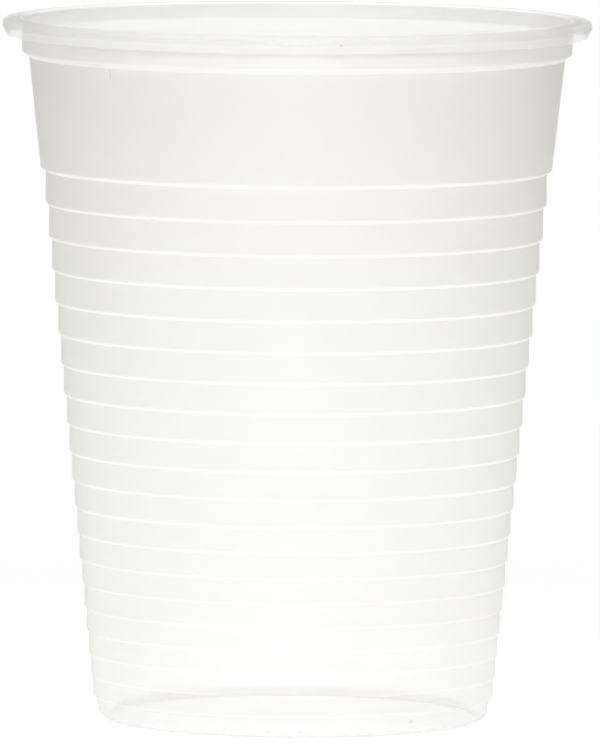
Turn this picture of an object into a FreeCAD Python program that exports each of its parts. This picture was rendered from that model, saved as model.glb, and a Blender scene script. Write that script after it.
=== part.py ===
"""A thin disposable drinking cup, formed in one piece from a sheet of plastic.

The cup stands on z = 0 with its axis on +Z, in millimetres. Its section is drawn once, on the plane through
the axis, and turned through a full circle. From the top down the section has a rolled rim, a stacking band
with a shelf under it, a smooth wall, a run of shallow rings that get closer together towards the base, and a
foot ring round a raised base panel.
"""
import FreeCAD
import Part
import os
from math import radians, tan

# Overall sizes and the sheet
cup_height = 83.7
rim_radius = 35.15
wall = 0.25

# Rolled rim: the thicker sheet of the lip turns outwards, over and down to its cut edge. Each bend is a bevel
curl_height = 2.0
curl_reach = 2.35
curl_bevel = 0.6
lip_sheet = 0.5

# Stacking band, where the next cup in a stack rests, and the shelf under it
stack_depth = 4.4
shelf_width = 0.85
shelf_height = 0.55

# Smooth wall between the shelf and the first ring
smooth_height = 13.75
smooth_draft = 6.1

# Rings: each is upright, with a short slope at its foot that leads in to the next
ring_count = 19
ring_draft = 5.7
pitch_ratio = 0.62
first_ring_step = 0.6
slope_height = 0.55

# Foot and base: a flat ring that the cup stands on, and a panel raised inside it
foot_height = 2.45
foot_step = 0.48
foot_draft = 7.0
ring_flat = 1.5
riser_draft = 20.0
panel_lift = 1.2


def at(radius, height):
    """A point of the section."""
    return FreeCAD.Vector(radius, 0, height)


# Heights of the middle of the shelf and of the slopes above the first ring and above the foot
shelf_level = cup_height - stack_depth
ring_top = shelf_level - smooth_height
ring_zone = ring_top - foot_height

# Radii that follow from the rim, working down the outside of the wall
stack_radius = rim_radius - curl_reach
shoulder_radius = stack_radius - shelf_width
smooth_run = smooth_height - (shelf_height + slope_height) / 2
smooth_foot_radius = shoulder_radius - smooth_run * tan(radians(smooth_draft))
first_ring_radius = smooth_foot_radius - first_ring_step


def ring_pitches():
    """Height of each ring, from the top one down: an even fall from the first to pitch_ratio of the first."""
    first = 2 * ring_zone / ring_count / (1 + pitch_ratio)
    fall = first * (1 - pitch_ratio) / (ring_count - 1)
    return [first - fall * index for index in range(ring_count)]


def rings():
    """Each ring from the top one down, as its radius and the heights of its upper and lower ends."""
    found = []
    upper = ring_top
    pitches = ring_pitches()
    for pitch in pitches:
        lower = upper - pitch
        drop = ring_top - pitches[0] / 2 - (upper + lower) / 2
        found.append((first_ring_radius - drop * tan(radians(ring_draft)), upper, lower))
        upper = lower
    return found


def foot_points():
    """The underside and the foot, from the middle of the base panel out and up to the last ring."""
    last_radius = rings()[-1][0]
    foot_top = foot_height - slope_height / 2
    foot_top_radius = last_radius - foot_step
    foot_radius = foot_top_radius - foot_top * tan(radians(foot_draft))
    riser_radius = foot_radius - ring_flat
    panel_radius = riser_radius - panel_lift * tan(radians(riser_draft))
    return [
        at(0, panel_lift),
        at(panel_radius, panel_lift),
        at(riser_radius, 0),
        at(foot_radius, 0),
        at(foot_top_radius, foot_top),
    ]


def ring_points():
    """The outside of the rings, from the lowest one up. Each is upright between the slopes at its two ends."""
    points = []
    for radius, upper, lower in reversed(rings()):
        points.append(at(radius, lower + slope_height / 2))
        points.append(at(radius, upper - slope_height / 2))
    return points


def upper_points():
    """The outside of the smooth wall and the shelf, from the bottom up to the foot of the stacking band."""
    return [
        at(smooth_foot_radius, ring_top + slope_height / 2),
        at(shoulder_radius, shelf_level - shelf_height / 2),
        at(stack_radius, shelf_level + shelf_height / 2),
    ]


def left_of(start, end):
    """The direction square to an edge, on its left."""
    along = end.sub(start)
    return FreeCAD.Vector(-along.z, 0, along.x).normalize()


def offset_left(points, distance):
    """The same line moved to its left by a distance, with each corner on the bisector of its two edges."""
    sides = [left_of(start, end) for start, end in zip(points, points[1:])]
    before = [sides[0]] + sides
    after = sides + [sides[-1]]
    moved = []
    for point, one, other in zip(points, before, after):
        bisector = one.add(other).normalize()
        moved.append(point.add(bisector.multiply(distance / bisector.dot(one))))
    return moved


def inner_points():
    """The inside of the wall, from the middle of the floor up to the foot of the stacking band.

    It keeps the wall's thickness to the outside, but past the rings it runs straight, from the top of the
    foot to the top of the first ring, so the wall is thicker towards the base.
    """
    ring_start = at(first_ring_radius, ring_top - slope_height / 2)
    return offset_left(foot_points() + [ring_start] + upper_points(), wall)


def curl_points():
    """The rolled rim, from the inside of the stacking band over the top and round to the band's outside."""
    band_inside = stack_radius - lip_sheet
    hollow_radius = rim_radius - lip_sheet
    cut_edge = cup_height - curl_height
    return [
        at(band_inside, cup_height - curl_bevel),
        at(band_inside + curl_bevel, cup_height),
        at(rim_radius - curl_bevel, cup_height),
        at(rim_radius, cup_height - curl_bevel),
        at(rim_radius, cut_edge + curl_bevel),
        at(hollow_radius, cut_edge),
        at(hollow_radius, cup_height - lip_sheet),
        at(stack_radius, cup_height - lip_sheet),
    ]


def cup_solid():
    """The whole cup: its section turned about the axis."""
    outside = foot_points() + ring_points() + upper_points()
    band_foot = at(stack_radius - lip_sheet, shelf_level + shelf_height / 2 + wall)
    section = inner_points()[:-1] + [band_foot] + curl_points() + outside[::-1]
    face = Part.Face(Part.makePolygon(section + [section[0]]))
    return face.revolve(FreeCAD.Vector(0, 0, 0), FreeCAD.Vector(0, 0, 1), 360)


os.makedirs("parts", exist_ok=True)
cup = cup_solid()
cup.exportStep("parts/cup.step")

box = cup.BoundBox
print("valid", cup.isValid(), "solids", len(cup.Solids), "faces", len(cup.Faces))
print("size", round(box.XLength, 2), round(box.YLength, 2), round(box.ZLength, 2), "lowest", round(box.ZMin, 3))
print("volume", round(cup.Volume, 1), "cubic mm")
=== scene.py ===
"""A thin milky drinking cup that stands on a pale studio floor.

The cup is one formed sheet. Its section is a line of corners, each rounded by an arc, and the inside lies a
sheet's thickness from the outside. The section is carried round the axis as one closed surface. All lengths
are in metres.
"""
from math import cos, radians, sin, tan

import bpy
import numpy as np
from bpy.props import FloatProperty, FloatVectorProperty, IntProperty, PointerProperty
from bpy.types import Operator, Panel, PropertyGroup
from mathutils import Matrix, Vector


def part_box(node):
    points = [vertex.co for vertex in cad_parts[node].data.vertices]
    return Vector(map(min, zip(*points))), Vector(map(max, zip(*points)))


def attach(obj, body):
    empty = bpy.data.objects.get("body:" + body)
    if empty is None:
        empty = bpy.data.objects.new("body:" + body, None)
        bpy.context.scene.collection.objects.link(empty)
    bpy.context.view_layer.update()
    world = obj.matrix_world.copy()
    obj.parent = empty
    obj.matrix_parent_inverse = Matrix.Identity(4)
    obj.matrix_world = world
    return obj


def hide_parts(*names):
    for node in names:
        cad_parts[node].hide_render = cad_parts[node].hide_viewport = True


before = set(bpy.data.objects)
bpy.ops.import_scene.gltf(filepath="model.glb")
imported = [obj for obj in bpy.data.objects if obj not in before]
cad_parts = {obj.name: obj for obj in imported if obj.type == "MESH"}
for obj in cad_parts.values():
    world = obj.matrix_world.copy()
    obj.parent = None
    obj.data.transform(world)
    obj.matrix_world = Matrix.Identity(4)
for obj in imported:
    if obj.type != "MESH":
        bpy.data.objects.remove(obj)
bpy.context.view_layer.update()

bl_info = {
    "name": "Formed Drinking Cup",
    "version": (1, 0, 0),
    "blender": (4, 5, 0),
    "location": "View3D > Sidebar > Cup",
    "description": "Builds a thin ringed drinking cup in milky plastic and the studio round it",
    "category": "Add Mesh",
}

MM = 0.001
CUP_NODE = "cup"
CUP_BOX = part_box(CUP_NODE)

# Rounding of each kind of corner of the section, and the least rounding on the inside
ROUNDING = {
    "panel": 0.30 * MM,
    "riser": 0.50 * MM,
    "ring_top": 0.06 * MM,
    "shoulder": 0.10 * MM,
    "shelf": 0.45 * MM,
    "ridge": 0.12 * MM,
    "groove": 0.30 * MM,
    "bead": 0.40 * MM,
    "nose": 0.20 * MM,
    "crease": 0.05 * MM,
    "skirt": 0.10 * MM,
}
LEAST_ROUNDING = 0.05 * MM
# Rounding of the trimmed edge, as a share of the sheet there
TRIM_ROUNDING = 0.45
ARC_STEPS = 4
LONGEST_RUN = 2.6 * MM

# Where the groove and the bead of the rim are, as shares of its reach
GROOVE_PLACE = 0.28
BEAD_PLACE = 0.50
NOSE_DROP = 0.12 * MM
CREASE_HEIGHT = 0.2 * MM
# How many of the last corners are in the thicker sheet of the lip
LIP_CORNERS = 7

# Ripples of the trimmed edge, as number round the cup, phase and strength
EDGE_RIPPLES = ((37, 1.1, 1.0), (61, 0.4, 0.7), (23, 0.0, 0.5))
RIPPLE_PEAK = radians(215)
RIPPLE_LEAST = 0.45
# How high over the edge the ripples reach, and how far outside the stacking band they start
RIPPLE_HEIGHT = 0.7 * MM
RIPPLE_START = 0.5 * MM

# Heights over the floor between which the plastic's looks change: the painted contact shade at the foot's
# lower edge, the start and fading of the painted fold glow, and the painted lighter colour towards the foot
CONTACT_SHADE_HEIGHTS = (0.1 * MM, 0.45 * MM)
PAINTED_GLOW_START_HEIGHTS = (0.5 * MM, 1.2 * MM)
PAINTED_GLOW_FADE_HEIGHTS = (8 * MM, 38 * MM)
LIT_FOOT_HEIGHTS = (12 * MM, 52 * MM)
# The same, counted from the top ring, the shelf, the edge of the rim and the top of the cup
UPPER_SHADE_BLEND = (-16 * MM, 13 * MM)
SHELF_BLEND = (-0.3 * MM, 0.3 * MM)
SHELF_PAINTED_GLOW_BLEND = (-1.5 * MM, -0.5 * MM)
SKIRT_BLEND = (0.0, 0.3 * MM)
PAINTED_RIDGE_TOP_BLEND = (-0.35 * MM, -0.15 * MM)
# Distances outside the stacking band between which the painted glow on the ridge of the rim ends
PAINTED_RIDGE_SIDE_BLEND = (0.10 * MM, 0.30 * MM)
# How far a face points down for none of the painted fold glow and for all of it. The painted glow is emission
# that stands in for light from the floor below.
PAINTED_GLOW_FACING = (-0.15, -0.65)
# Shares of the painted fold glow that are left at the foot and at the shelf
PAINTED_GLOW_AT_FOOT = 0.18
PAINTED_GLOW_AT_SHELF = 0.65

PLASTIC_IOR = 1.49
GRAIN_SCALE = 900
GRAIN_DETAIL = 1.5
GRAIN_RANGE = (0.3, 0.7)
SATIN_SPREAD = (0.92, 1.12)
GRAIN_BUMP = {"Strength": 0.1, "Distance": 0.02 * MM}

# Small specks in the plastic, each with its turn from the front to the right in degrees, its height and size
# in mm, and its darkness
SPECKS = (
    (8.4, 82.6, 0.10, 0.5),
    (61.0, 82.3, 0.10, 0.6),
    (-34.9, 61.4, 0.10, 0.5),
    (37.0, 1.6, 0.15, 0.6),
    (2.0, 0.7, 0.10, 0.6),
    (-7.0, 0.7, 0.09, 0.6),
)
# Short upright scratches in the same way. Their height is their size over the squash.
SCRATCHES = ((-43.5, 78.3, 0.07, 0.35),)
SCRATCH_SQUASH = 0.13

FLOOR_CORNERS = 96
# Distances from the axis, in metres, between which the floor's light changes
GLOW_FADE = (0.04, 0.18)
GLOW_END = (0.4, 0.9)
# Painted shadow: distances between which the floor's glow rises from its dimmed share under the cup, given
# next, to full
PAINTED_SHADOW_UNDER_CUP = (0.0215, 0.0250)
GLOW_IN_PAINTED_SHADOW = 0.5
# The same for how white the camera sees the floor, and the share of white next to the cup
WHITE_REACH = (0.04, 0.4)
WHITE_NEAR = 0.95
TOP_LAMP = {"size": 1.0, "place": (0, 0.1, 1.1), "target": (0, 0, 0)}
FILL_LAMP = {"size": 0.6, "place": (-0.03, -1.4, 0.6), "target": (0, 0, 0.05)}
CAMERA_NEAR = 0.1
CAMERA_FAR = 50


def length(name, description, default):
    """A length in metres for a settings group, given in mm."""
    return FloatProperty(name=name, description=description, default=default * MM, unit="LENGTH", precision=5)


def angle(name, description, default):
    """An angle for a settings group, given in degrees."""
    return FloatProperty(name=name, description=description, default=radians(default), subtype="ANGLE")


def share(name, description, default):
    """A plain number from 0 upwards for a settings group."""
    return FloatProperty(name=name, description=description, default=default, min=0.0)


def colour(name, description, default):
    """A colour for a settings group."""
    return FloatVectorProperty(
        name=name, description=description, default=default, subtype="COLOR", min=0, max=1
    )


def power(name, description, default):
    """The power of a lamp for a settings group."""
    return FloatProperty(name=name, description=description, default=default, unit="POWER")


class CupShapeSettings(PropertyGroup):
    """Sizes of the formed cup."""

    rim_radius: length("Rim radius", "Radius of the rolled rim outside", CUP_BOX[1].x / MM)
    cup_height: length("Height", "Height of the cup over the rim", CUP_BOX[1].z / MM)
    wall: length("Wall", "Thickness of the formed sheet", 0.25)
    thin_foot: share("Thin foot", "Thickness of the sheet at the foot as a share of the wall", 0.4)
    lip_sheet: length("Lip sheet", "Thickness of the sheet in the rolled rim", 0.36)
    curl_height: length("Curl height", "Height of the rolled rim", 2.0)
    curl_reach: length("Curl reach", "How far the rim stands out from the stacking band", 2.35)
    groove_depth: length("Groove depth", "Depth of the groove on top of the rim", 0.09)
    crease_depth: length("Crease depth", "Depth of the crease outside the rim", 0.04)
    crease_drop: length("Crease drop", "Depth of the crease under the top of the rim", 0.78)
    skirt_lean: length("Skirt lean", "How far the skirt of the rim leans in", 0.55)
    stack_depth: length("Stack depth", "Height of the stacking band and the rim together", 4.4)
    shelf_width: length("Shelf width", "How far the wall steps in under the stacking band", 0.85)
    smooth_height: length("Smooth height", "Height of the smooth wall", 13.75)
    smooth_draft: angle("Smooth draft", "Taper of the smooth wall", 6.1)
    first_ring_step: length("First step", "How far the first ring steps in", 0.6)
    ring_count: IntProperty(name="Rings", description="Number of rings", default=19, min=2)
    ring_draft: angle("Ring draft", "Taper that the rings follow", 5.7)
    pitch_ratio: share("Pitch ratio", "Height of the last ring as a share of the first", 0.62)
    ledge_drop: length("Ledge drop", "Height of the sloping ledge under each ring", 0.30)
    ring_edge: length("Ring edge", "Radius of the rounded lower edge of each ring", 0.50)
    foot_height: length("Foot height", "Height of the foot under the last ring", 2.45)
    foot_step: length("Foot step", "How far the foot steps in", 0.48)
    foot_draft: angle("Foot draft", "Taper of the foot", 7.0)
    foot_edge: length("Foot edge", "Radius of the edge under the foot", 1.1)
    ring_flat: length("Foot ring", "Width of the flat ring that the cup stands on", 1.5)
    riser_draft: angle("Riser draft", "Slope of the wall inside the foot ring", 20.0)
    panel_lift: length("Panel lift", "Height of the base panel over the floor", 1.2)
    edge_wave: length("Edge wave", "Unevenness of the trimmed edge of the rim", 0.10)
    segments: IntProperty(name="Segments", description="Facets round the cup", default=168, min=24)


class CupPlasticSettings(PropertyGroup):
    """Colour and finish of the milky plastic."""

    plastic_colour: colour("Plastic", "Colour of the milky plastic", (0.936, 0.922, 0.874))
    # Painted shade: a darker copy of the plastic over the upper rings and the smooth wall, standing in for
    # the shade there
    shaded_upper_colour: colour("Upper plastic", "The same over the rings, in thicker sheet", (0.832, 0.821, 0.785))
    # Painted light: a lighter copy of the plastic in the rim and the stacking band, standing in for the light
    # that shines through them
    lit_lip_colour: colour("Lip plastic", "The same in the rim and the stacking band", (0.985, 0.98, 0.965))
    # Painted shade: a darker copy of the plastic outside the stacking band, under the rim
    shaded_band_colour: colour("Band plastic", "The same outside the stacking band", (0.89, 0.882, 0.862))
    # Painted light: a lighter copy of the plastic towards the foot, standing in for the brighter light near
    # the floor
    lit_foot_colour: colour("Foot plastic", "The same near the foot, in thinner sheet", (0.99, 0.985, 0.97))
    speck_colour: colour("Specks", "Colour of the specks in it", (0.42, 0.41, 0.38))
    clear_low: share("Clear at the foot", "Share of light that the foot lets straight through", 0.72)
    clear_high: share("Clear at the rim", "Share of light that the rim lets straight through", 0.25)
    # Painted contact shade: the foot's lower edge is made less clear, so that its dark colour shows
    contact_shade_clear: share("Clear at the edge", "Clearness of the sharp edge of the foot beside the foot", 0.3)
    clear_lip: share("Clear lip", "How much clearer the rim and the stacking band are", 0.12)
    # Painted contact shade: dark colour on the foot's lower edge, where it meets the floor
    contact_shade_colour: colour("Foot edge", "Colour of the sharp lower edge of the foot", (0.66, 0.65, 0.63))
    # Painted light: emission on the ridge on top of the rim
    painted_ridge_glow: share("Ridge glow", "Light that the sheet carries to the ridge on top of the rim", 0.3)
    inner_share: share("Inner side", "How milky the inner side is beside the outer side", 0.58)
    dimming: share("Dimming", "How fast light dims along its way inside the sheet, per metre", 100.0)
    dim_colour: colour("Dim colour", "Colour that light takes on the way", (0.5, 0.48, 0.4))
    glow_depth: length("Glow depth", "How far light wanders inside the sheet", 0.5)
    # Painted light: emission on the folds and edges that face down, standing in for light from the floor
    # below
    painted_fold_glow: share("Fold glow", "Light that the sheet carries to its folds and edges that face down", 0.19)
    satin: share("Satin", "Roughness of the surface", 0.34)


class StudioSettings(PropertyGroup):
    """Floor, lamps and camera."""

    floor_colour: colour("Floor", "Colour of the floor", (0.92, 0.91, 0.88))
    floor_glow: share("Floor glow", "Strength of the light that the floor gives off", 0.03)
    glow_colour: colour("Glow colour", "Colour of the light that the floor gives off", (1.0, 0.985, 0.945))
    glow_near: share("Glow near the cup", "The same under and near the cup", 0.78)
    glow_oval: share("Glow oval", "Length of the glowing patch over its width", 1.4)
    floor_radius: length("Floor radius", "Radius of the round floor", 6000)
    room_light: share("Room light", "Strength of the light that comes from all round", 0.03)
    top_power: power("Top lamp", "Power of the lamp overhead", 7.2)
    fill_power: power("Fill lamp", "Power of the lamp in front", 13.5)
    camera_distance: length("Camera distance", "From the camera to the point it looks at", 1600)
    camera_height: angle("Camera angle", "How far the camera looks down", 5.06)
    camera_roll: angle("Camera roll", "Turn of the camera about its line of sight", 0.4)
    aim_height: length("Aim height", "Height of the point that the camera looks at", 41.36)
    aim_side: length("Aim side", "How far that point is to the right of the axis", 0.6)
    lens: FloatProperty(name="Lens", description="Focal length", default=648.5, unit="CAMERA")


def unit_rows(vectors):
    """Each row of an array divided by its length."""
    return vectors / np.linalg.norm(vectors, axis=1)[:, None]


def right_of(directions):
    """Each direction (x, y) turned a quarter turn to the right, which is (y, -x)."""
    return np.stack([directions[:, 1], -directions[:, 0]], axis=1)


def turns(corners):
    """Directions before and after each inner corner, and the signed turn there, positive to the left."""
    runs = unit_rows(np.diff(corners, axis=0))
    before, after = runs[:-1], runs[1:]
    cross = before[:, 0] * after[:, 1] - before[:, 1] * after[:, 0]
    return before, after, np.arctan2(cross, np.sum(before * after, axis=1))


def offset_corners(corners, distance):
    """The corners moved to the left of the line by distance, each along the bisector of its two runs.

    With unit normals a and b of the runs before and after, a corner moves by distance * (a + b) / (1 + a.b).
    """
    normals = -right_of(unit_rows(np.diff(corners, axis=0)))
    before = np.concatenate([normals[:1], normals])
    after = np.concatenate([normals, normals[-1:]])
    return corners + (distance / (1 + np.sum(before * after, axis=1)))[:, None] * (before + after)


def rounded_line(corners, radii, steps, longest):
    """Points and right-hand normals along a line of corners, with each inner corner rounded to its radius.

    An arc of radius r and turn t starts r * tan(t / 2) before its corner. After a turn of s it has moved
    r * sin(s) along the first run and r * (1 - cos(s)) to the side that it turns to. Straight runs longer
    than the longest allowed are divided.
    """
    before, _, turn = turns(corners)
    radius = radii[1:-1]
    swept = np.abs(turn)[:, None] * np.linspace(0, 1, steps + 1)
    side = -right_of(before) * np.sign(turn)[:, None]
    start = corners[1:-1] - before * (radius * np.tan(np.abs(turn) / 2))[:, None]
    along = (radius[:, None] * np.sin(swept))[..., None] * before[:, None]
    across = (radius[:, None] * (1 - np.cos(swept)))[..., None] * side[:, None]
    heading = np.cos(swept)[..., None] * before[:, None] + np.sin(swept)[..., None] * side[:, None]
    ends = unit_rows(np.stack([corners[1] - corners[0], corners[-1] - corners[-2]]))
    points = np.concatenate([corners[:1], (start[:, None] + along + across).reshape(-1, 2), corners[-1:]])
    headings = np.concatenate([ends[:1], heading.reshape(-1, 2), ends[1:]])
    travel = np.concatenate([[0], np.cumsum(np.linalg.norm(np.diff(points, axis=0), axis=1))])
    extra = np.arange(longest, travel[-1], longest)
    gap = np.abs(extra[:, None] - travel[None]).min(axis=1)
    stops = np.sort(np.concatenate([travel, extra[gap > longest / 2]]))
    line = np.stack([np.interp(stops, travel, points[:, k]) for k in (0, 1)], axis=1)
    facing = np.stack([np.interp(stops, travel, headings[:, k]) for k in (0, 1)], axis=1)
    return line, unit_rows(right_of(facing))


def ring_ends(shape):
    """Radius, upper end and lower end of each ring, from the top one down.

    The heights fall evenly from the first to pitch_ratio of the first and add up to the ringed part. A ring's
    radius falls with its middle, by the tangent of ring_draft.
    """
    top = shape.cup_height - shape.stack_depth - shape.smooth_height
    zone = top - shape.foot_height
    first = 2 * zone / shape.ring_count / (1 + shape.pitch_ratio)
    pitches = np.linspace(first, first * shape.pitch_ratio, shape.ring_count)
    lower = top - np.cumsum(pitches)
    upper = lower + pitches
    stack_radius = shape.rim_radius - shape.curl_reach
    smooth_foot = stack_radius - shape.shelf_width - shape.smooth_height * tan(shape.smooth_draft)
    drop = top - first / 2 - (upper + lower) / 2
    return smooth_foot - shape.first_ring_step - drop * tan(shape.ring_draft), upper, lower


def corner_table(rows):
    """Corners (radius, height) and their roundings, from rows of all three."""
    table = np.array(rows, dtype=float)
    return table[:, :2], table[:, 2]


def foot_corners(shape, last_radius):
    """Corners and roundings under the cup, from the axis out to the top of the foot."""
    foot_top_radius = last_radius - shape.foot_step
    foot_radius = foot_top_radius - shape.foot_height * tan(shape.foot_draft)
    riser_radius = foot_radius - shape.ring_flat
    panel_radius = riser_radius - shape.panel_lift * tan(shape.riser_draft)
    return corner_table([
        (0, shape.panel_lift, 0),
        (panel_radius, shape.panel_lift, ROUNDING["panel"]),
        (riser_radius, 0, ROUNDING["riser"]),
        (foot_radius, 0, shape.foot_edge),
        (foot_top_radius, shape.foot_height - shape.ledge_drop / 2, ROUNDING["ring_top"]),
    ])


def ring_corners(shape):
    """Corners and roundings of the rings from the lowest up: a rounded lower edge, then a sharp upper one."""
    radius, upper, lower = ring_ends(shape)
    half = shape.ledge_drop / 2
    pairs = np.stack([np.stack([radius, lower + half], 1), np.stack([radius, upper - half], 1)], 1)
    radii = np.tile([shape.ring_edge, ROUNDING["ring_top"]], shape.ring_count)
    return pairs[::-1].reshape(-1, 2), radii, radius[-1]


def upper_corners(shape):
    """Corners and roundings of the smooth wall, the shelf and the underside of the rolled rim.

    The rim has a ridge inside, a shallow groove, a round bead, a crease and a skirt that leans in.
    """
    stack_radius = shape.rim_radius - shape.curl_reach
    shoulder = stack_radius - shape.shelf_width
    shelf = shape.cup_height - shape.stack_depth
    smooth_foot = shoulder - shape.smooth_height * tan(shape.smooth_draft)
    under_top = shape.cup_height - shape.lip_sheet
    under_nose = shape.rim_radius - shape.lip_sheet
    crease = shape.cup_height - shape.crease_drop
    return corner_table([
        (smooth_foot, shelf - shape.smooth_height + shape.ledge_drop / 2, shape.ring_edge),
        (shoulder, shelf - shape.ledge_drop, ROUNDING["shoulder"]),
        (stack_radius, shelf + shape.ledge_drop, ROUNDING["shelf"]),
        (stack_radius, under_top, ROUNDING["ridge"]),
        (stack_radius + GROOVE_PLACE * shape.curl_reach, under_top - shape.groove_depth, ROUNDING["groove"]),
        (stack_radius + BEAD_PLACE * shape.curl_reach, under_top, ROUNDING["bead"]),
        (under_nose, under_top - NOSE_DROP, ROUNDING["nose"]),
        (under_nose - shape.crease_depth, crease, ROUNDING["crease"]),
        (under_nose - shape.crease_depth / 4, crease - CREASE_HEIGHT, ROUNDING["skirt"]),
        (under_nose - shape.skirt_lean, shape.cup_height - shape.curl_height, 0),
    ])


def outer_radius(shape, height):
    """Radius of the outside at a height, from the corners of its section."""
    if height > shape.cup_height - shape.curl_height:
        return shape.rim_radius
    rings, _, last_radius = ring_corners(shape)
    foot, _ = foot_corners(shape, last_radius)
    upper, _ = upper_corners(shape)
    line = np.concatenate([foot[3:], rings, upper[:4]])
    return np.interp(height, line[:, 1], line[:, 0])


def cup_section(shape):
    """The closed section of the sheet, from the axis below the base round the lip to the axis inside."""
    rings, ring_radii, last_radius = ring_corners(shape)
    foot, foot_radii = foot_corners(shape, last_radius)
    upper, upper_radii = upper_corners(shape)
    corners = np.concatenate([foot, rings, upper])
    radii = np.concatenate([foot_radii, ring_radii, upper_radii])
    ring_top = shape.cup_height - shape.stack_depth - shape.smooth_height
    thickness = shape.wall * np.interp(corners[:, 1], [0, ring_top], [shape.thin_foot, 1])
    thickness[-LIP_CORNERS:] = shape.lip_sheet
    _, _, turn = turns(corners)
    inside = offset_corners(corners, thickness)
    inside_radii = radii.copy()
    inside_radii[1:-1] = np.maximum(radii[1:-1] - np.sign(turn) * thickness[1:-1], LEAST_ROUNDING)
    radii[-1] = inside_radii[-1] = TRIM_ROUNDING * shape.lip_sheet
    loop = np.concatenate([corners, inside[::-1]])
    return rounded_line(loop, np.concatenate([radii, inside_radii[::-1]]), ARC_STEPS, LONGEST_RUN)


def edge_waves(angles):
    """Uneven height of the trimmed edge, from -1 to 1: a sum of sines that close on a full turn.

    Each ripple is s * sin(n * a + p), and together they are strongest at the peak.
    """
    ripple = sum(strength * np.sin(count * angles + phase) for count, phase, strength in EDGE_RIPPLES)
    total = sum(strength for _, _, strength in EDGE_RIPPLES)
    return ripple / total * (RIPPLE_LEAST + (1 - RIPPLE_LEAST) * np.cos((angles - RIPPLE_PEAK) / 2) ** 2)


def turned_surface(line, facing, shape):
    """Points and normals of the section carried round the axis, which is (r cos a, r sin a, z) at angle a.

    The trimmed edge of the rim waves up and down.
    """
    angles = np.linspace(0, 2 * np.pi, shape.segments, endpoint=False)
    edge_height = shape.cup_height - shape.curl_height
    is_lip = line[:, 0] > shape.rim_radius - shape.curl_reach + RIPPLE_START
    near_edge = np.where(is_lip, np.clip(1 - (line[:, 1] - edge_height) / RIPPLE_HEIGHT, 0, 1), 0)
    radius, height = line[:, :1], line[:, 1:]
    wave = near_edge[:, None] * edge_waves(angles)[None] * shape.edge_wave
    across = np.stack([np.cos(angles), np.sin(angles)], axis=1)
    points = np.concatenate([radius[..., None] * across[None], (height + wave)[..., None]], axis=2)
    rise = np.broadcast_to(facing[:, 1:, None], wave.shape + (1,))
    return points, np.concatenate([facing[:, :1, None] * across[None], rise], axis=2)


def closed_faces(rows, segments):
    """Corner numbers of the quads between rows of points, and of the fans that close the two poles."""
    here = np.arange(segments)
    there = np.roll(here, -1)
    first = 1 + np.arange(rows - 1)[:, None] * segments
    quads = np.stack([first + here, first + there, first + segments + there, first + segments + here], axis=2)
    low_fan = np.stack([np.zeros(segments, int), 1 + there, 1 + here], axis=1)
    last = 1 + (rows - 1) * segments
    high_fan = np.stack([last + here, last + there, np.full(segments, last + segments)], axis=1)
    return low_fan.tolist() + quads.reshape(-1, 4).tolist() + high_fan.tolist()


def cup_mesh(shape):
    """The closed mesh of the cup, with the normals of its section."""
    line, facing = cup_section(shape)
    points, normals = turned_surface(line[1:-1], facing[1:-1], shape)
    poles = [(0, 0, line[0, 1]), (0, 0, line[-1, 1])]
    vertices = np.concatenate([poles[:1], points.reshape(-1, 3), poles[1:]])
    pole_normals = [(0, 0, facing[0, 1]), (0, 0, facing[-1, 1])]
    vertex_normals = np.concatenate([pole_normals[:1], normals.reshape(-1, 3), pole_normals[1:]])
    mesh = bpy.data.meshes.new("formed_cup")
    mesh.from_pydata(vertices.tolist(), [], closed_faces(len(line) - 2, shape.segments))
    past_edge = np.arange(1, len(line) - 1) > len(line) // 2
    inner = np.concatenate([[0], np.repeat(past_edge, shape.segments), [1]])
    mesh.attributes.new("inner_side", "FLOAT", "POINT").data.foreach_set("value", inner.astype(np.float32))
    mesh.shade_smooth()
    mesh.normals_split_custom_set_from_vertices(vertex_normals.tolist())
    mesh.update()
    return mesh


def set_inputs(made, values):
    """Set a node's unlinked input values, given by name or number."""
    for name, value in values.items():
        made.inputs[name].default_value = value


def node(tree, kind, inputs=None, **settings):
    """A new node with its settings and its unlinked input values."""
    made = tree.nodes.new(kind)
    for name, value in settings.items():
        setattr(made, name, value)
    set_inputs(made, inputs or {})
    return made


def fill(tree, slots, values):
    """Link or set each input slot from its value, which is a socket, a number or a colour."""
    for slot, value in zip(slots, values):
        if isinstance(value, bpy.types.NodeSocket):
            tree.links.new(value, slot)
        else:
            slot.default_value = value


def math(tree, operation, first, second=0.5, third=0.5):
    """A maths node on two or three values, each a socket or a number."""
    made = node(tree, "ShaderNodeMath", operation=operation)
    fill(tree, made.inputs, (first, second, third))
    return made.outputs[0]


def product(tree, first, *others):
    """Values multiplied in turn, each a socket or a number."""
    for other in others:
        first = math(tree, "MULTIPLY", first, other)
    return first


def remap(tree, value, low, high, to_low, to_high, kind="SMOOTHSTEP"):
    """A value carried from one range to another, with smooth ends or in a straight line."""
    made = node(tree, "ShaderNodeMapRange", interpolation_type=kind)
    tree.links.new(value, made.inputs["Value"])
    set_inputs(made, {"From Min": low, "From Max": high, "To Min": to_low, "To Max": to_high})
    return made.outputs[0]


def near(place, blend):
    """The two ends of a blend that is given from a place."""
    return place + blend[0], place + blend[1]


def mixed(tree, share_of_second, first, second):
    """Two colours mixed, each a socket or a colour with alpha."""
    made = node(tree, "ShaderNodeMix", data_type="RGBA")
    tree.links.new(share_of_second, made.inputs[0])
    fill(tree, (made.inputs[6], made.inputs[7]), (first, second))
    return made.outputs[2]


def scaled_length(tree, place, scale):
    """Distance from the origin, on coordinates with each axis scaled."""
    scaled = node(tree, "ShaderNodeMapping", {"Scale": scale})
    tree.links.new(place, scaled.inputs["Vector"])
    distance = node(tree, "ShaderNodeVectorMath", operation="LENGTH")
    tree.links.new(scaled.outputs[0], distance.inputs[0])
    return distance.outputs["Value"]


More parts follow.
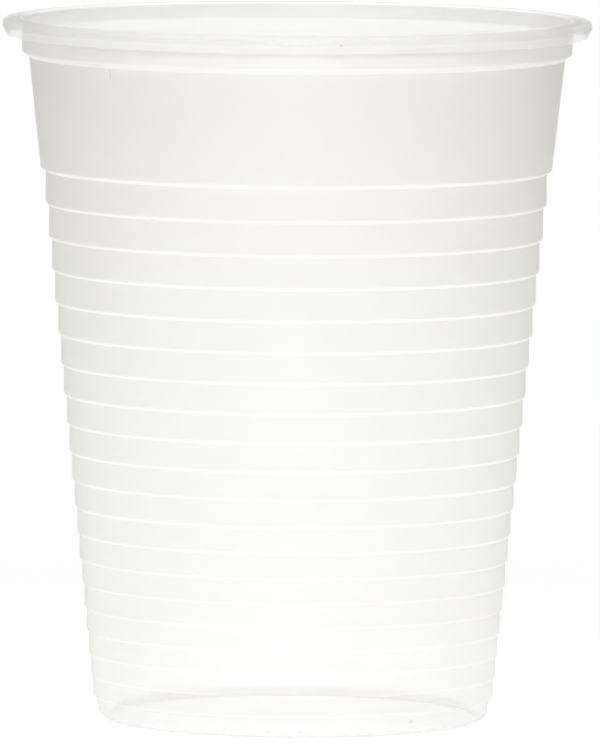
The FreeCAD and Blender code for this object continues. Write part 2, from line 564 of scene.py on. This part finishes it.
def noise(tree, place, scale, detail):
    """Noise on the object's own coordinates, with scale in patches per metre."""
    made = node(tree, "ShaderNodeTexNoise", {"Scale": scale, "Detail": detail})
    tree.links.new(place, made.inputs["Vector"])
    return made.outputs["Fac"]


def mark_mask(tree, place, shape, marks, squash):
    """Darkness of the marks, and zero elsewhere. A mark is a ball in a place whose heights are squashed."""
    found = 0.0
    squashed = node(tree, "ShaderNodeMapping", {"Scale": (1, 1, squash)})
    tree.links.new(place, squashed.inputs["Vector"])
    for turn, height, size, darkness in marks:
        outer = outer_radius(shape, height * MM)
        centre = (outer * sin(radians(turn)), -outer * cos(radians(turn)), height * MM * squash)
        distance = node(tree, "ShaderNodeVectorMath", {1: centre}, operation="DISTANCE")
        tree.links.new(squashed.outputs[0], distance.inputs[0])
        spot = remap(tree, distance.outputs["Value"], size * MM, 2 * size * MM, darkness, 0)
        found = math(tree, "MAXIMUM", spot, found)
    return found


def milky_share(tree, clear, inner_side, inner_share):
    """Share of light scattered where it enters the sheet, less on the inner side. It leaves unscattered."""
    from_inside = node(tree, "ShaderNodeNewGeometry").outputs["Backfacing"]
    milky = math(tree, "SUBTRACT", 1.0, clear)
    by_side = remap(tree, inner_side, 0, 1, 1, inner_share)
    return product(tree, milky, by_side, math(tree, "SUBTRACT", 1.0, from_inside))


def part_masks(tree, height, inner_side, shape):
    """Masks, from 0 to 1, of the sharp edge of the foot, where a contact shade is painted, of the lip, and of
    the outside of the stacking band, where shade is painted.
    """
    outside = remap(tree, inner_side, 0, 1, 1, 0)
    shelf = shape.cup_height - shape.stack_depth
    skirt = shape.cup_height - shape.curl_height
    # The foot's lower edge, where a contact shade is painted
    edge = product(tree, remap(tree, height, *CONTACT_SHADE_HEIGHTS, 1, 0), outside)
    lip = remap(tree, height, *near(shelf, SHELF_BLEND), 0, 1)
    # Outside of the stacking band, where shade is painted
    band = product(tree, lip, outside, remap(tree, height, *near(skirt, SKIRT_BLEND), 1, 0))
    return edge, lip, band


def clearness(tree, plastic, shape, height, edge, lip):
    """Share of light that goes straight through: it falls evenly with height, rises in the lip, and falls at
    the foot's lower edge, where the contact shade is painted.
    """
    span = (0, shape.cup_height, plastic.clear_low, plastic.clear_high)
    clear = remap(tree, height, *span, kind="LINEAR")
    clear = math(tree, "ADD", clear, product(tree, lip, plastic.clear_lip))
    return product(tree, clear, remap(tree, edge, 0, 1, 1, plastic.contact_shade_clear))


def sheet_colour(tree, plastic, shape, place, height, masks):
    """Colour of the sheet by height and by part, with the specks and scratches in it. Painted light and
    shade: lighter towards the foot and in the lip, darker over the upper wall and outside the stacking band,
    and a dark painted contact shade at the foot's lower edge.
    """
    edge, lip, band = masks
    ring_top = shape.cup_height - shape.stack_depth - shape.smooth_height
    specks = mark_mask(tree, place, shape, SPECKS, 1.0)
    scratches = mark_mask(tree, place, shape, SCRATCHES, SCRATCH_SQUASH)
    layers = (
        # Painted light towards the foot
        (remap(tree, height, *LIT_FOOT_HEIGHTS, 1, 0), plastic.lit_foot_colour),
        # Painted shade over the upper rings and the smooth wall
        (remap(tree, height, *near(ring_top, UPPER_SHADE_BLEND), 0, 1), plastic.shaded_upper_colour),
        # Painted light in the rim and the stacking band
        (lip, plastic.lit_lip_colour),
        # Painted shade outside the stacking band
        (band, plastic.shaded_band_colour),
        # Painted contact shade at the foot's lower edge
        (edge, plastic.contact_shade_colour),
        (math(tree, "MAXIMUM", specks, scratches), plastic.speck_colour),
    )
    sheet = (*plastic.plastic_colour, 1)
    for mask, layer in layers:
        sheet = mixed(tree, mask, sheet, (*layer, 1))
    return sheet


def painted_glow(tree, plastic, shape, place, height):
    """Strength of the painted glow: emission on the sheet's downward faces, standing in for light from the
    floor below, and painted light on the ridge on top of the rim.
    """
    shelf = shape.cup_height - shape.stack_depth
    ridge = shape.rim_radius - shape.curl_reach
    facing = node(tree, "ShaderNodeSeparateXYZ")
    tree.links.new(node(tree, "ShaderNodeTexCoord").outputs["Normal"], facing.inputs[0])
    # Painted glow on faces that point down
    folds = remap(tree, facing.outputs["Z"], *PAINTED_GLOW_FACING, 0, plastic.painted_fold_glow)
    fading = product(
        tree,
        remap(tree, height, *PAINTED_GLOW_FADE_HEIGHTS, PAINTED_GLOW_AT_FOOT, 1),
        remap(tree, height, *PAINTED_GLOW_START_HEIGHTS, 0, 1),
        remap(tree, height, *near(shelf, SHELF_PAINTED_GLOW_BLEND), 1, PAINTED_GLOW_AT_SHELF),
    )
    # Painted light on the ridge on top of the rim
    radius = scaled_length(tree, place, (1, 1, 0))
    beside = remap(tree, radius, *near(ridge, PAINTED_RIDGE_SIDE_BLEND), plastic.painted_ridge_glow, 0)
    high = remap(tree, height, *near(shape.cup_height, PAINTED_RIDGE_TOP_BLEND), 0, 1)
    return math(tree, "MULTIPLY_ADD", folds, fading, product(tree, beside, high))


def milky_plastic(plastic, shape):
    """Milky plastic, thinner and clearer towards the foot, with fine grain, specks and a scratch, and with
    painted light and shade: lighter and darker copies of its colour by height and part, a painted contact
    shade at the foot's lower edge, and a painted glow on downward faces and on the rim's ridge.
    """
    material = bpy.data.materials.new("milky_plastic")
    material.use_nodes = True
    material.cycles.emission_sampling = "NONE"
    tree = material.node_tree
    shader = tree.nodes["Principled BSDF"]
    place = node(tree, "ShaderNodeTexCoord").outputs["Object"]
    parts = node(tree, "ShaderNodeSeparateXYZ")
    tree.links.new(place, parts.inputs[0])
    height = parts.outputs["Z"]
    inner_side = node(tree, "ShaderNodeAttribute", attribute_name="inner_side").outputs["Fac"]
    masks = part_masks(tree, height, inner_side, shape)
    edge, lip, _ = masks
    clear = clearness(tree, plastic, shape, height, edge, lip)
    grain = noise(tree, place, GRAIN_SCALE, GRAIN_DETAIL)
    bump = node(tree, "ShaderNodeBump", GRAIN_BUMP)
    tree.links.new(grain, bump.inputs["Height"])
    linked = {
        "Alpha": milky_share(tree, clear, inner_side, plastic.inner_share),
        "Base Color": sheet_colour(tree, plastic, shape, place, height, masks),
        "Roughness": remap(tree, grain, *GRAIN_RANGE, *(plastic.satin * spread for spread in SATIN_SPREAD)),
        "Emission Strength": painted_glow(tree, plastic, shape, place, height),
        "Normal": bump.outputs[0],
    }
    for name, socket in linked.items():
        tree.links.new(socket, shader.inputs[name])
    set_inputs(shader, {
        # White colour of the painted glow
        "Emission Color": (1, 1, 1, 1),
        "IOR": PLASTIC_IOR,
        "Subsurface Weight": 1.0,
        "Subsurface Radius": (1, 1, 1),
        "Subsurface Scale": plastic.glow_depth,
    })
    dimmed = {"Color": (*plastic.dim_colour, 1), "Density": plastic.dimming}
    dim = node(tree, "ShaderNodeVolumeAbsorption", dimmed)
    tree.links.new(dim.outputs[0], tree.nodes["Material Output"].inputs["Volume"])
    return material


def seen_directly(tree):
    """One for rays from the camera and for rays that mirror or pass through, and zero for diffuse light."""
    path = node(tree, "ShaderNodeLightPath")
    glossy = math(tree, "MAXIMUM", path.outputs["Is Glossy Ray"], path.outputs["Is Transmission Ray"])
    return math(tree, "MAXIMUM", path.outputs["Is Camera Ray"], glossy)


def floor_material(studio):
    """A pale glowing floor that shows white, and keeps part of the shadow near the cup. Its glow is dimmed
    under the cup as a painted shadow.
    """
    material = bpy.data.materials.new("pale_floor")
    material.use_nodes = True
    tree = material.node_tree
    tree.nodes.clear()
    place = node(tree, "ShaderNodeTexCoord").outputs["Object"]
    distance = scaled_length(tree, place, (1, 1, 1))
    reach = scaled_length(tree, place, (studio.glow_oval, 1, 1))
    strength = product(
        tree,
        remap(tree, reach, *GLOW_FADE, studio.glow_near, studio.floor_glow),
        remap(tree, reach, *GLOW_END, 1, 0),
        # Painted shadow: the glow is dimmed under the cup
        remap(tree, distance, *PAINTED_SHADOW_UNDER_CUP, GLOW_IN_PAINTED_SHADOW, 1),
    )
    matt = node(tree, "ShaderNodeBsdfDiffuse", {"Color": (*studio.floor_colour, 1)})
    glow = node(tree, "ShaderNodeEmission", {"Color": (*studio.glow_colour, 1)})
    tree.links.new(strength, glow.inputs["Strength"])
    lit = node(tree, "ShaderNodeAddShader")
    tree.links.new(matt.outputs[0], lit.inputs[0])
    tree.links.new(glow.outputs[0], lit.inputs[1])
    plain_white = node(tree, "ShaderNodeEmission", {"Color": (1, 1, 1, 1), "Strength": 1.0})
    white = remap(tree, distance, *WHITE_REACH, WHITE_NEAR, 1)
    mix = node(tree, "ShaderNodeMixShader")
    tree.links.new(product(tree, seen_directly(tree), white), mix.inputs[0])
    tree.links.new(lit.outputs[0], mix.inputs[1])
    tree.links.new(plain_white.outputs[0], mix.inputs[2])
    output = node(tree, "ShaderNodeOutputMaterial")
    tree.links.new(mix.outputs[0], output.inputs["Surface"])
    return material


def add_floor(studio):
    """A round flat floor under the cup."""
    angles = np.linspace(0, 2 * np.pi, FLOOR_CORNERS, endpoint=False)
    rim = np.stack([np.cos(angles), np.sin(angles), np.zeros(FLOOR_CORNERS)], axis=1) * studio.floor_radius
    mesh = bpy.data.meshes.new("studio_floor")
    mesh.from_pydata(rim.tolist(), [], [list(range(FLOOR_CORNERS))])
    mesh.materials.append(floor_material(studio))
    floor = bpy.data.objects.new("studio_floor", mesh)
    bpy.context.scene.collection.objects.link(floor)


def add_world(studio):
    """A room that shows white, and lights the cup more softly."""
    world = bpy.data.worlds.new("studio_room")
    world.use_nodes = True
    tree = world.node_tree
    tree.nodes.clear()
    room = node(tree, "ShaderNodeBackground", {"Color": (1, 1, 1, 1), "Strength": studio.room_light})
    white = node(tree, "ShaderNodeBackground", {"Color": (1, 1, 1, 1), "Strength": 1.0})
    mix = node(tree, "ShaderNodeMixShader")
    tree.links.new(seen_directly(tree), mix.inputs[0])
    tree.links.new(room.outputs[0], mix.inputs[1])
    tree.links.new(white.outputs[0], mix.inputs[2])
    output = node(tree, "ShaderNodeOutputWorld")
    tree.links.new(mix.outputs[0], output.inputs["Surface"])
    bpy.context.scene.world = world


def add_lamp(name, power, size, place, target):
    """A square soft lamp that faces its target."""
    lamp = bpy.data.lights.new(name, "AREA")
    lamp.energy = power
    lamp.size = size
    stand = bpy.data.objects.new(name, lamp)
    stand.location = place
    stand.rotation_euler = (Vector(target) - Vector(place)).to_track_quat("-Z", "Y").to_euler()
    bpy.context.scene.collection.objects.link(stand)


def add_camera(studio):
    """The camera, on the photograph's line of sight."""
    data = bpy.data.cameras.new("camera")
    data.lens = studio.lens
    data.clip_start = CAMERA_NEAR
    data.clip_end = CAMERA_FAR
    camera = bpy.data.objects.new("camera", data)
    target = Vector((studio.aim_side, 0, studio.aim_height))
    back = Vector((0, -cos(studio.camera_height), sin(studio.camera_height)))
    turn = (-back).to_track_quat("-Z", "Y").to_matrix().to_4x4() @ Matrix.Rotation(studio.camera_roll, 4, "Z")
    camera.matrix_world = Matrix.Translation(target + back * studio.camera_distance) @ turn
    bpy.context.scene.collection.objects.link(camera)
    bpy.context.scene.camera = camera


class CUP_OT_form_cup(Operator):
    """Form the cup from its section and give it its milky plastic"""

    bl_idname = "cup.form_cup"
    bl_label = "Form Cup"

    def execute(self, context):
        shape = context.scene.cup_shape
        mesh = cup_mesh(shape)
        mesh.materials.append(milky_plastic(context.scene.cup_plastic, shape))
        piece = bpy.data.objects.new("formed_cup", mesh)
        context.scene.collection.objects.link(piece)
        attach(piece, "root")
        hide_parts(CUP_NODE)
        return {"FINISHED"}


class CUP_OT_set_studio(Operator):
    """Set up the floor, the room, the lamps and the camera"""

    bl_idname = "cup.set_studio"
    bl_label = "Set Studio"

    def execute(self, context):
        studio = context.scene.cup_studio
        add_floor(studio)
        add_world(studio)
        add_lamp("top_lamp", studio.top_power, **TOP_LAMP)
        add_lamp("fill_lamp", studio.fill_power, **FILL_LAMP)
        add_camera(studio)
        context.scene.view_settings.view_transform = "Standard"
        return {"FINISHED"}


class CUP_PT_cup(Panel):
    """Lists the cup's settings and operators"""

    bl_label = "Formed Cup"
    bl_space_type = "VIEW_3D"
    bl_region_type = "UI"
    bl_category = "Cup"

    def draw(self, context):
        for group in (context.scene.cup_shape, context.scene.cup_plastic, context.scene.cup_studio):
            column = self.layout.column(align=True)
            for name in group.__annotations__:
                column.prop(group, name)
        self.layout.operator(CUP_OT_form_cup.bl_idname)
        self.layout.operator(CUP_OT_set_studio.bl_idname)


CLASSES = (
    CupShapeSettings,
    CupPlasticSettings,
    StudioSettings,
    CUP_OT_form_cup,
    CUP_OT_set_studio,
    CUP_PT_cup,
)


def register():
    """Register the classes and hang the settings on the scene."""
    for made in CLASSES:
        bpy.utils.register_class(made)
    bpy.types.Scene.cup_shape = PointerProperty(type=CupShapeSettings)
    bpy.types.Scene.cup_plastic = PointerProperty(type=CupPlasticSettings)
    bpy.types.Scene.cup_studio = PointerProperty(type=StudioSettings)


def unregister():
    """Take the settings off the scene and unregister the classes."""
    del bpy.types.Scene.cup_studio
    del bpy.types.Scene.cup_plastic
    del bpy.types.Scene.cup_shape
    for made in reversed(CLASSES):
        bpy.utils.unregister_class(made)


def main():
    """Build the cup and the studio."""
    register()
    bpy.ops.cup.form_cup()
    bpy.ops.cup.set_studio()


if __name__ == "__main__":
    main()
